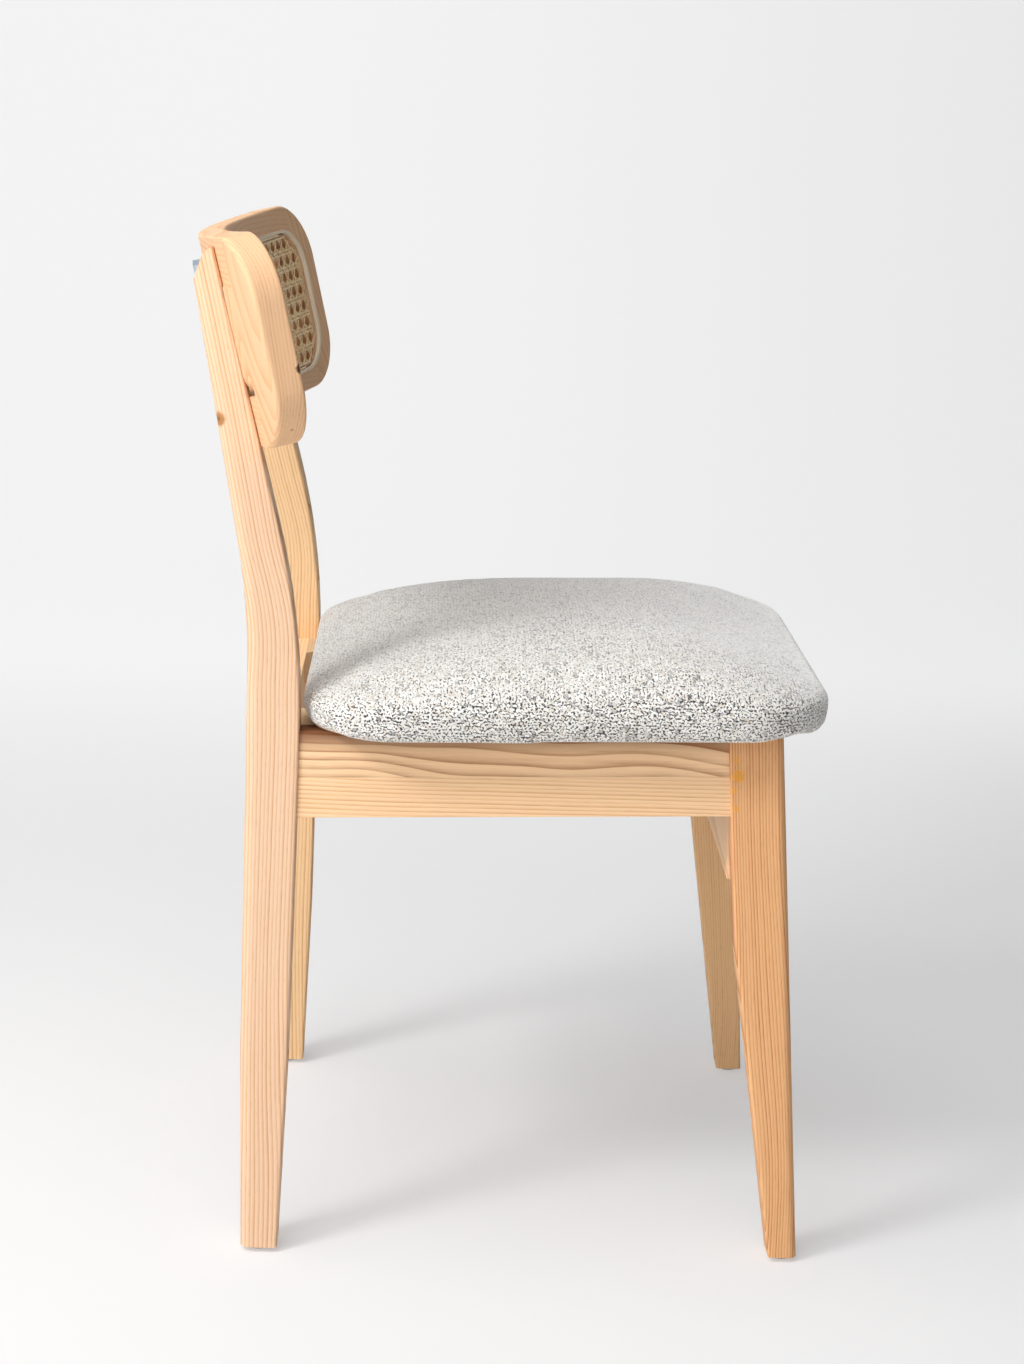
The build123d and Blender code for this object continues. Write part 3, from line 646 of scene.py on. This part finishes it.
apply_modifier(cushion, "SUBSURF", levels=1, render_levels=1)
normals = [v.normal.copy() for v in cushion.data.vertices]
for vertex, normal in zip(cushion.data.vertices, normals):
    co = vertex.co
    above = co.z - seat_plane(co.y)
    gathered = max(0.0, 1.0 - above / GATHER_HEIGHT)
    if above > FIRST_MOVED:
        out = Vector((co.x, co.y - MIDDLE_OF_SEAT, 0.0)).normalized()
        fold = noise.noise(Vector((co.x * FOLDS_ALONG, co.y * FOLDS_ALONG, above * FOLDS_UP)))
        nub = noise.noise(co * NUBS)
        co += out * (fold * FOLD_DEPTH * gathered) + normal * (nub * NUB_DEPTH)
        settle(co, above)
    co.z = max(co.z, seat_plane(co.y) + UNDERSIDE)
    co.z -= sag(co) * gathered
    co.y = min(co.y, POST_FACE)
print("crown at", round(max(v.co.z for v in cushion.data.vertices), 4))

# %% [markdown]
# ## Tweed
# The cover is a loose weave of thick off-white yarn with dark grey and beige flecks. Each nub of yarn is about
# 2.9 mm. Real threads would need millions of faces. So a flat pattern of cells is laid on the top and on each
# side, picked by the way the surface faces, and the nubs keep their size all round. Each cell gets its own tone,
# and painted shade makes near-black gaps where the corners of cells meet. The top gets fewer of these gaps, which
# paints it lighter.

# %% Cells of yarn

NUB = 0.0029
ROW_STRETCH = 1.12


def flat_place(cloth, face):
    """Two coordinates on the top or on a side of the seat, counted in nubs and a little wavy."""
    at = cloth.place(scale=(1 / NUB, 1 / NUB, 1 / NUB))
    x, y, z = cloth.split(at)
    face_x, face_y, face_z = face
    top = face_z.math("ABSOLUTE").math("GREATER_THAN", 0.7)
    side = face_x.math("ABSOLUTE").math("GREATER_THAN", face_y.math("ABSOLUTE"))
    wall_u = side * y + (1.0 - side) * x
    sway = (cloth.noise(at, 0.30, 2.0) - 0.5) * 1.6
    return top * x + (1.0 - top) * wall_u + sway, (top * y + (1.0 - top) * z) * ROW_STRETCH + sway


def nub_cells(cloth, u, v):
    """For the nearest nub: the way to its middle, its own colour, and the way to its edge."""
    at = cloth.join(u + (v.math("FLOOR") * 0.5).math("FRACT"), v, 0.0)
    cell = {"Vector": at, "Scale": 1.0, "Randomness": 0.42}
    return [
        cloth.node("ShaderNodeTexVoronoi", {"feature": feature, "voronoi_dimensions": "2D"}, cell, output=output)
        for feature, output in (("F1", "Distance"), ("F1", "Color"), ("DISTANCE_TO_EDGE", "Distance"))
    ]


# %% Yarn with its flecks and painted shade in its gaps


def tweed():
    cloth = Finish("tweed")
    face = cloth.split(cloth.node("ShaderNodeNewGeometry", output="Normal"))
    u, v = flat_place(cloth, face)
    far, own, edge = nub_cells(cloth, u, v)
    tone, kind, hue = cloth.split(own)
    patch = cloth.noise(cloth.place(scale=(26, 26, 26)), 1.0, 2.0)
    rare = kind + (patch - 0.5) * 0.1
    fibre = cloth.noise(cloth.place(scale=(2600, 2600, 2600)), 1.0, 2.0)
    yarn = cloth.mix(tone, linear(232, 228, 222), linear(252, 250, 246))
    yarn = cloth.mix(cloth.smooth(hue, 0.84, 0.88) * 0.6, yarn, linear(212, 200, 184))
    yarn = cloth.mix(cloth.smooth(rare, 0.90, 0.93) * 0.7, yarn, linear(150, 148, 148))
    yarn = cloth.mix(cloth.smooth(rare, 0.99, 1.02), yarn, linear(92, 92, 96))
    dash = cloth.noise(cloth.join(u, v, 0.0), 1.6, 1.0, 0.5)
    # Painted light: upward faces get fewer dark gaps, so the top reads lighter.
    painted_top_light = cloth.smooth(face[2], 0.60, 1.0) * 0.07
    # Painted shade: near-black in the recesses between nubs.
    gap_shade = (1.0 - cloth.smooth(edge, 0.20, 0.32)) * cloth.smooth(far, 0.30, 0.40)
    dark = gap_shade * cloth.smooth(dash + (patch - 0.5) * 0.10 - painted_top_light, 0.485, 0.51)
    yarn = cloth.mix(dark, yarn, linear(4, 4, 5))
    yarn = cloth.mix(fibre * 0.10, yarn, linear(170, 166, 160))
    height = (1.0 - far) + 0.12 * fibre
    return cloth.surface(
        Base_Color=yarn, Roughness=0.92 - 0.1 * fibre, Sheen_Weight=1.0, Sheen_Roughness=0.5,
        Normal=cloth.bump(height, 0.0006, 0.6),
    )


activate(cushion)
bpy.ops.object.shade_smooth()
finish_piece(cushion, tweed())
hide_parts("seat_cover", "seat_foam")

# %% [markdown]
# ## The lining
# Black cloth closes the underside of the seat. It is a thin sheet that is pulled tight and stapled to the board,
# and it ripples a little between the staples. A cloth simulation would add nothing that can be seen, so it is a
# fine grid that is laid on the slope of the seat, with a slow noise for the ripples.

# %% A thin sheet on the slope of the seat

LINING_LOW, LINING_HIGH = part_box("dust_cover")
LINING_LIFT = 0.0010
LINING_MESH = 0.005
LINING_RIPPLE = 0.0002
RIPPLES = 30  # waves of noise in a metre
LINING_THICKNESS = 0.0005


def lining_cloth():
    cloth = Finish("lining_cloth")
    web = cloth.noise(cloth.place(scale=(900, 900, 900)), 1.0, 4.0, 0.7)
    dots = cloth.node(
        "ShaderNodeTexVoronoi", {"feature": "F1"},
        {"Vector": cloth.place(), "Scale": 700.0, "Randomness": 0.2}, output="Distance",
    )
    return cloth.surface(
        Base_Color=cloth.mix(web, linear(22, 22, 24), linear(54, 53, 56)), Roughness=0.85 - 0.2 * web,
        Normal=cloth.bump(dots + web * 0.5, 0.0002, 0.6),
    )


middle = (LINING_LOW + LINING_HIGH) / 2
width = LINING_HIGH.x - LINING_LOW.x
depth = LINING_HIGH.y - LINING_LOW.y
deselect()
bpy.ops.mesh.primitive_grid_add(
    x_subdivisions=int(width / LINING_MESH), y_subdivisions=int(depth / LINING_MESH), size=1, location=middle,
)
lining = bpy.context.object
lining.name = "seat_lining"
lining.scale = (width, depth, 1)
keep_place(lining)
for vertex in lining.data.vertices:
    co = vertex.co
    ripple = noise.noise(Vector((co.x * RIPPLES, co.y * RIPPLES, 0)))
    co.z = seat_plane(co.y) + LINING_LIFT + LINING_RIPPLE * ripple
apply_modifier(lining, "SOLIDIFY", thickness=LINING_THICKNESS, offset=0.0)
finish_piece(lining, lining_cloth())
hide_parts("dust_cover")

# %% [markdown]
# ## Staples
# A row of staples holds the edge of the lining. Only the crown of a staple shows, because its legs are in the
# board, so each one is a flat bar with rounded edges. They are joined into one piece, as nobody takes out one.

# %% Staples along the edge

STAPLE = 0.010
WIRE_WIDTH, WIRE_HEIGHT, WIRE_ROUND = 0.0011, 0.0006, 0.0002
STAPLE_LIFT = 0.0005
STAPLE_STEP = 0.042
STAPLE_IN = 0.007


def staple(x, y, across):
    """A flat wire crown with rounded edges."""
    bpy.ops.mesh.primitive_cube_add(size=1, location=(x, y, seat_plane(y) + STAPLE_LIFT))
    wire = bpy.context.object
    wire.scale = (STAPLE, WIRE_WIDTH, WIRE_HEIGHT) if across else (WIRE_WIDTH, STAPLE, WIRE_HEIGHT)
    keep_place(wire)
    apply_modifier(wire, "BEVEL", width=WIRE_ROUND, segments=2)
    return wire


def spread(low, high):
    """Places for staples, an even step apart."""
    count = int((high - low) / STAPLE_STEP)
    return [low + (high - low) * (i + 0.5) / count for i in range(count)]


wires = [
    staple(x, y, True)
    for y in (LINING_LOW.y + STAPLE_IN, LINING_HIGH.y - STAPLE_IN)
    for x in spread(LINING_LOW.x, LINING_HIGH.x)
] + [
    staple(x, y, False)
    for x in (LINING_LOW.x + STAPLE_IN, LINING_HIGH.x - STAPLE_IN)
    for y in spread(LINING_LOW.y, LINING_HIGH.y)
]
deselect()
for wire in wires:
    wire.select_set(True)
bpy.context.view_layer.objects.active = wires[0]
bpy.ops.object.join()
staples = bpy.context.object
staples.name = "lining_staples"
finish_piece(staples, zinc())
print("staples:", len(wires))

# %% [markdown]
# ## The cane
# Cane is woven from the shiny skin of rattan in four directions: pairs of strands upright and level, and single
# strands both ways aslant. The slanting ones cut the corners of each square, which leaves eight-sided holes. A
# picture with holes would look flat from near by. Nothing ready-made gives such a weave either, so each strand is
# worked out as a flat strip of faces first, and the whole is then bent on to the curve of the back.

# %% The field that the weave fills

PITCH = 0.014
COLUMNS, ROWS = 30, 8
HOLE_MIDDLE = 0.0035
FIELD = (0.2005, -0.0540, 0.0610, 0.032)
MARK_STEP = 0.0005
MARKS_EACH_WAY = 900
SHORTEST = 6


def inside_field(u, v):
    """True where a place lies inside the groove round the cane, whose corners are round."""
    half, low, high, corner = FIELD
    past_u = max(abs(u) - (half - corner), 0)
    past_v = max(abs(v - (low + high) / 2) - ((high - low) / 2 - corner), 0)
    return past_u * past_u + past_v * past_v < corner * corner


def reach_of(u, v, step_u, step_v):
    """Where a line through a place enters and leaves the field, as lengths along it."""
    marks = [i * MARK_STEP for i in range(-MARKS_EACH_WAY, MARKS_EACH_WAY + 1)]
    inner = [m for m in marks if inside_field(u + m * step_u, v + m * step_v)]
    return (inner[0], inner[-1]) if len(inner) > SHORTEST else None


print("a level strand lies between", reach_of(0, HOLE_MIDDLE, 1, 0))

# %% [markdown]
# ## Over and under
# A strand is a ribbon about 1.8 mm wide with a rounded back. It goes over one neighbour and under the next, and it
# turns down into the groove at both ends. Two rows of faces are enough for that back, and a short wave on each
# ribbon gives the crossings.

# %% One ribbon for each strand

PAIR = 0.00145
STRAND_CROWN = 0.00022
PIECE = 0.0035
TURN_DOWN = 0.004
PAIR_WAVE = 0.00032
SLANT_WAVE = 0.00055
corners = []
crowns = []
faces = []


def ribbon(u, v, step_u, step_v, width, lift_at):
    """Add a strip along a direction, with its height given by a function of place."""
    span = reach_of(u, v, step_u, step_v)
    if not span:
        return
    start, end = span
    count = max(2, int((end - start) / PIECE))
    first = len(corners)
    for i in range(count + 1):
        along = start + (end - start) * i / count
        at_u, at_v = u + along * step_u, v + along * step_v
        lift = lift_at(at_u, at_v)
        down = TURN_DOWN if i in (0, count) else 0.0
        for side, crown in ((-0.5, 0.0), (0.0, STRAND_CROWN), (0.5, 0.0)):
            corners.append((at_u - step_v * width * side, at_v + step_u * width * side, lift + crown - down))
            crowns.append(1.0 - 2 * abs(side))
    for i in range(count):
        row = first + i * 3
        faces.append((row, row + 3, row + 4, row + 1))
        faces.append((row + 1, row + 4, row + 5, row + 2))


def over_pair(place, side):
    """Up over one strand of a crossing pair and down under the other."""
    offset = (place / PITCH + 0.5) % 1.0 * PITCH - PITCH / 2
    return side * PAIR_WAVE * sin(pi * offset / (2 * PAIR)) if abs(offset) < 2 * PAIR else 0.0


def slant_wave(u, sign):
    """Over the upright pairs and under the level ones."""
    return sign * SLANT_WAVE * cos(2 * pi * u / PITCH)


# %% All strands, still flat

STRAND_WIDTH = 0.0018
SLANT_WIDTH = 0.0016
DIAGONAL = sqrt(0.5)

for column in range(COLUMNS + 1):
    for side in (-1, 1):
        u = (column - COLUMNS / 2) * PITCH + side * PAIR
        ribbon(u, HOLE_MIDDLE, 0, 1, STRAND_WIDTH, lambda a, b, s=side: over_pair(b - HOLE_MIDDLE, s))
for row in range(ROWS + 1):
    for side in (-1, 1):
        v = HOLE_MIDDLE + (row - ROWS / 2) * PITCH + side * PAIR
        ribbon(0, v, 1, 0, STRAND_WIDTH, lambda a, b, s=side: over_pair(a, -s))
for number in range(-COLUMNS, COLUMNS):
    u = (number + 0.5) * PITCH
    for sign in (-1, 1):
        ribbon(u, HOLE_MIDDLE, DIAGONAL, sign * DIAGONAL, SLANT_WIDTH, lambda a, b, s=sign: slant_wave(a, s))
print("strips:", len(faces), "faces,", len(corners), "corners")

# %% [markdown]
# ## The curve of the back
# The backrest is part of a wide drum that leans backwards. Each point of the flat weave is laid on that drum by
# its angle, its height and its lift, which keeps every hole the same size. The strips then get their thickness.

# %% Bent on to the backrest

BACK_RADIUS = 0.520
BACK_ORIGIN = Vector((0.0, 0.2114, 0.700))
LEAN = radians(13)
SET_BACK = 0.0007
STRAND = 0.0004


def on_back(u, v, lift):
    """A place of the flat weave on the hollow front of the backrest."""
    angle = u / BACK_RADIUS
    radius = BACK_RADIUS + SET_BACK - lift
    inward = radius * cos(angle) - BACK_RADIUS
    return BACK_ORIGIN + Vector((
        radius * sin(angle),
        inward * cos(LEAN) + v * sin(LEAN),
        v * cos(LEAN) - inward * sin(LEAN),
    ))


weave_mesh = bpy.data.meshes.new("cane_weave")
weave_mesh.from_pydata([on_back(*corner) for corner in corners], [], faces)
crown_values = weave_mesh.attributes.new("crown", "FLOAT", "POINT")
crown_values.data.foreach_set("value", crowns)
weave = bpy.data.objects.new("cane_weave", weave_mesh)
bpy.context.scene.collection.objects.link(weave)
activate(weave)
bpy.ops.object.mode_set(mode="EDIT")
bpy.ops.mesh.select_all(action="SELECT")
bpy.ops.mesh.flip_normals()
bpy.ops.object.mode_set(mode="OBJECT")
apply_modifier(weave, "SOLIDIFY", thickness=STRAND, offset=-1.0)
print("weave points:", len(weave.data.vertices))

# %% [markdown]
# ## Skin of rattan
# The skin is smooth, golden and a little shiny, with fine streaks along each strand and a brown knot here and
# there.
# The edges of each strand get painted shade, where the strands shade each other. A value stored at each point
# while the strips were made says how near it lies to the back of its strand, so the edges can be darkened. The
# strip that locks the cane in its groove is plain pale reed.

# %% Cane and spline


def cane_skin():
    cane = Finish("cane_skin")
    at = cane.place()
    streak = cane.noise(cane.place(scale=(900, 300, 60)), 1.0, 3.0, 0.6)
    level = cane.noise(cane.place(scale=(60, 300, 900)), 1.0, 3.0, 0.6)
    patch = cane.noise(at, 38.0, 3.0, 0.6)
    tone = 0.35 * streak + 0.35 * level + 0.5 * patch
    crown = cane.node("ShaderNodeAttribute", {"attribute_name": "crown"}, output="Fac")
    colour = cane.mix(cane.smooth(tone, 0.35, 0.9), linear(255, 228, 170), linear(252, 206, 142))
    # Painted shade: each strand darkens to brown towards its edges.
    colour = cane.mix((1.0 - cane.smooth(crown, 0.0, 0.35)) * 0.45, colour, linear(120, 78, 42))
    knot = cane.smooth(cane.noise(at, 160.0, 2.0), 0.66, 0.74)
    colour = cane.mix(knot * 0.5, colour, linear(140, 98, 52))
    return cane.surface(
        Base_Color=colour, Roughness=0.30 + 0.25 * patch, Coat_Weight=0.3, Coat_Roughness=0.2,
        Normal=cane.bump(streak + level, 0.0001, 0.5),
    )


def reed():
    strip = Finish("reed_spline")
    fibre = strip.noise(strip.place(scale=(260, 260, 260)), 1.0, 4.0, 0.7)
    patch = strip.noise(strip.place(), 30.0, 2.0)
    colour = strip.mix(fibre * 0.6 + patch * 0.3, linear(255, 240, 214), linear(246, 224, 192))
    return strip.surface(Base_Color=colour, Roughness=0.6 + 0.2 * fibre, Normal=strip.bump(fibre, 0.0002, 0.5))


activate(weave)
bpy.ops.object.shade_flat()
finish_piece(weave, cane_skin())
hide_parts("cane_panel")
dress(["cane_spline"], reed())

# %% [markdown]
# ## Floor and backdrop
# The chair was photographed on pale paper that runs up behind it. One sheet with a long bend does the same. Part
# of its light is its own, and only for what looks at it, so it stays pale without lighting the chair.

# %% One bent sheet

FLOOR_NEAR = -4.0
FLOOR_FAR = 2.6
FLOOR_WIDTH = 12
BEND = 1.4
BEND_STEPS = 16
WALL = 5
deselect()
bpy.ops.mesh.primitive_plane_add(size=1, location=((FLOOR_NEAR + FLOOR_FAR) / 2, 0, 0))
backdrop = bpy.context.object
backdrop.name = "backdrop"
backdrop.scale = (FLOOR_FAR - FLOOR_NEAR, FLOOR_WIDTH, 1)
keep_place(backdrop)
bpy.ops.object.mode_set(mode="EDIT")
bpy.ops.mesh.select_mode(type="VERT")
bpy.ops.mesh.select_all(action="DESELECT")
bpy.ops.object.mode_set(mode="OBJECT")
for vertex in backdrop.data.vertices:
    vertex.select = vertex.co.x > 0
for edge in backdrop.data.edges:
    edge.select = all(backdrop.data.vertices[i].select for i in edge.vertices)
bpy.ops.object.mode_set(mode="EDIT")
for i in range(BEND_STEPS):
    low, high = (radians(90) * n / BEND_STEPS for n in (i, i + 1))
    step = (BEND * (sin(high) - sin(low)), 0, BEND * (cos(low) - cos(high)))
    bpy.ops.mesh.extrude_region_move(TRANSFORM_OT_translate={"value": step})
bpy.ops.mesh.extrude_region_move(TRANSFORM_OT_translate={"value": (0, 0, WALL)})
bpy.ops.object.mode_set(mode="OBJECT")
bpy.ops.object.shade_smooth()
print("backdrop faces:", len(backdrop.data.polygons))

# %% Pale paper


def paper():
    """Paper that gives part of its light itself, but only to rays that look at it, with a painted shadow towards
    the chair's front.
    """
    sheet = Finish("paper")
    x, y, z = sheet.split(sheet.place())
    right = sheet.smooth(0.0 - y, -0.6, 1.6)
    grain = sheet.noise(sheet.place(scale=(40, 40, 40)), 1.0, 3.0)
    away = sheet.smooth(x, 0.4, 2.0)
    # Painted shadow: the paper's own light grows darker towards the front of the chair, where its shadow falls.
    shade = sheet.smooth(0.0 - y, 0.2, 1.2)
    glow_with_painted_shadow = sheet.mix(shade, linear(240, 240, 242), linear(192, 192, 195))
    own = sheet.mix(away, glow_with_painted_shadow, sheet.mix(right, linear(252, 252, 252), linear(240, 240, 241)))
    colour = sheet.mix(grain * 0.03, linear(251, 251, 250), linear(200, 200, 200))
    lit = sheet.node("ShaderNodeBsdfDiffuse", {}, {"Color": colour})
    glow = sheet.node("ShaderNodeEmission", {}, {"Color": own, "Strength": 1.0})
    looks, mirrored, passed = [
        sheet.node("ShaderNodeLightPath", output=ray)
        for ray in ("Is Camera Ray", "Is Glossy Ray", "Is Transmission Ray")
    ]
    seen = looks.math("MAXIMUM", mirrored.math("MAXIMUM", passed))
    both = sheet.node("ShaderNodeMixShader", {}, [seen * (0.44 + 0.40 * away), lit, glow])
    sheet.node("ShaderNodeOutputMaterial", {}, [both])
    return sheet.made


backdrop.data.materials.append(paper())
backdrop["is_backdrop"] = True
print(backdrop.name, "is", backdrop.data.materials[0].name)

# %% [markdown]
# ## Light
# The shadows in the photograph fall away from the camera and towards the front of the chair, so a soft main lamp
# stands behind the chair's back on the camera's side. A wide weak lamp near the camera, another one overhead and a
# pale world fill in.

# %% Lamps and world

LAMP_AIM = Vector((0, 0, 0.4))


def lamp(name, direction, distance, size, level):
    """An area lamp whose light, square on, makes white read as the given level."""
    data = bpy.data.lights.new(name, "AREA")
    data.shape = "DISK"
    data.size = size
    data.energy = level * pi * pi * distance * distance
    made = bpy.data.objects.new(name, data)
    bpy.context.scene.collection.objects.link(made)
    towards = Vector(direction).normalized()
    made.location = LAMP_AIM + towards * distance
    made.rotation_euler = towards.to_track_quat("Z", "Y").to_euler()
    print(name, "at", rounded(made.location, 2))


lamp("main_lamp", (-0.46, 0.61, 0.64), distance=2.6, size=0.7, level=0.46)
lamp("wide_lamp", (-1.0, 0.48, 0.42), distance=3.2, size=2.4, level=0.32)
lamp("ceiling_lamp", (-0.25, 0.3, 1.0), distance=3.0, size=2.8, level=0.47)
room = Finish("pale_room", "worlds")
backwards = room.split(room.node("ShaderNodeTexCoord", output="Generated"))[1]
towards_front = 1.0 - room.smooth(backwards, -0.7, 0.2)
shade = room.mix(towards_front, linear(140, 140, 140), linear(66, 66, 68))
glow = room.node("ShaderNodeBackground", {}, {"Color": shade, "Strength": 1.0})
room.node("ShaderNodeOutputWorld", {}, [glow])
bpy.context.scene.world = room.made

# %% [markdown]
# ## Camera
# The camera was worked out from the edges of the chair in the photograph. It stands at the chair's right, a little
# higher than the backrest, and looks down by about 13 degrees.

# %% Camera and colour

CAMERA_PLACE = Vector((-2.189754, 0.062818, 0.915797))
YAW, PITCH_DOWN, ROLL = 0.0328, 0.225, 0.0339
SENSOR = 36.0
FOCAL_LENGTH_IN_ROWS = 2700 / 1364
FARTHEST = 40.0
ahead = Vector((cos(YAW), -sin(YAW), 0))
right = Vector((-sin(YAW), -cos(YAW), 0))
up = Vector((0, 0, 1))
ahead, up = ahead * cos(PITCH_DOWN) - up * sin(PITCH_DOWN), up * cos(PITCH_DOWN) + ahead * sin(PITCH_DOWN)
right, up = right * cos(ROLL) + up * sin(ROLL), up * cos(ROLL) - right * sin(ROLL)
camera_data = bpy.data.cameras.new("camera")
camera_data.sensor_fit = "VERTICAL"
camera_data.sensor_height = SENSOR
camera_data.lens = FOCAL_LENGTH_IN_ROWS * SENSOR
camera_data.clip_end = FARTHEST
camera = bpy.data.objects.new("camera", camera_data)
bpy.context.scene.collection.objects.link(camera)
turned = Matrix((right, up, -ahead)).transposed()
camera.matrix_world = Matrix.Translation(CAMERA_PLACE) @ turned.to_4x4()
bpy.context.scene.camera = camera
bpy.context.scene.view_settings.view_transform = "Standard"
print("camera", round(CAMERA_PLACE.length, 2), "m away, lens", round(camera_data.lens, 1), "mm")

# %% [markdown]
# ## How big it came out
# The box of the solids and the box of what shows are written down side by side. The soft pieces may stand out of
# their solids by a few millimetres, and the two boxes say whether they do.

# %% Sizes, and the end
seen_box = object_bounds()
print("visual box", rounded((*seen_box[0], *seen_box[1])))
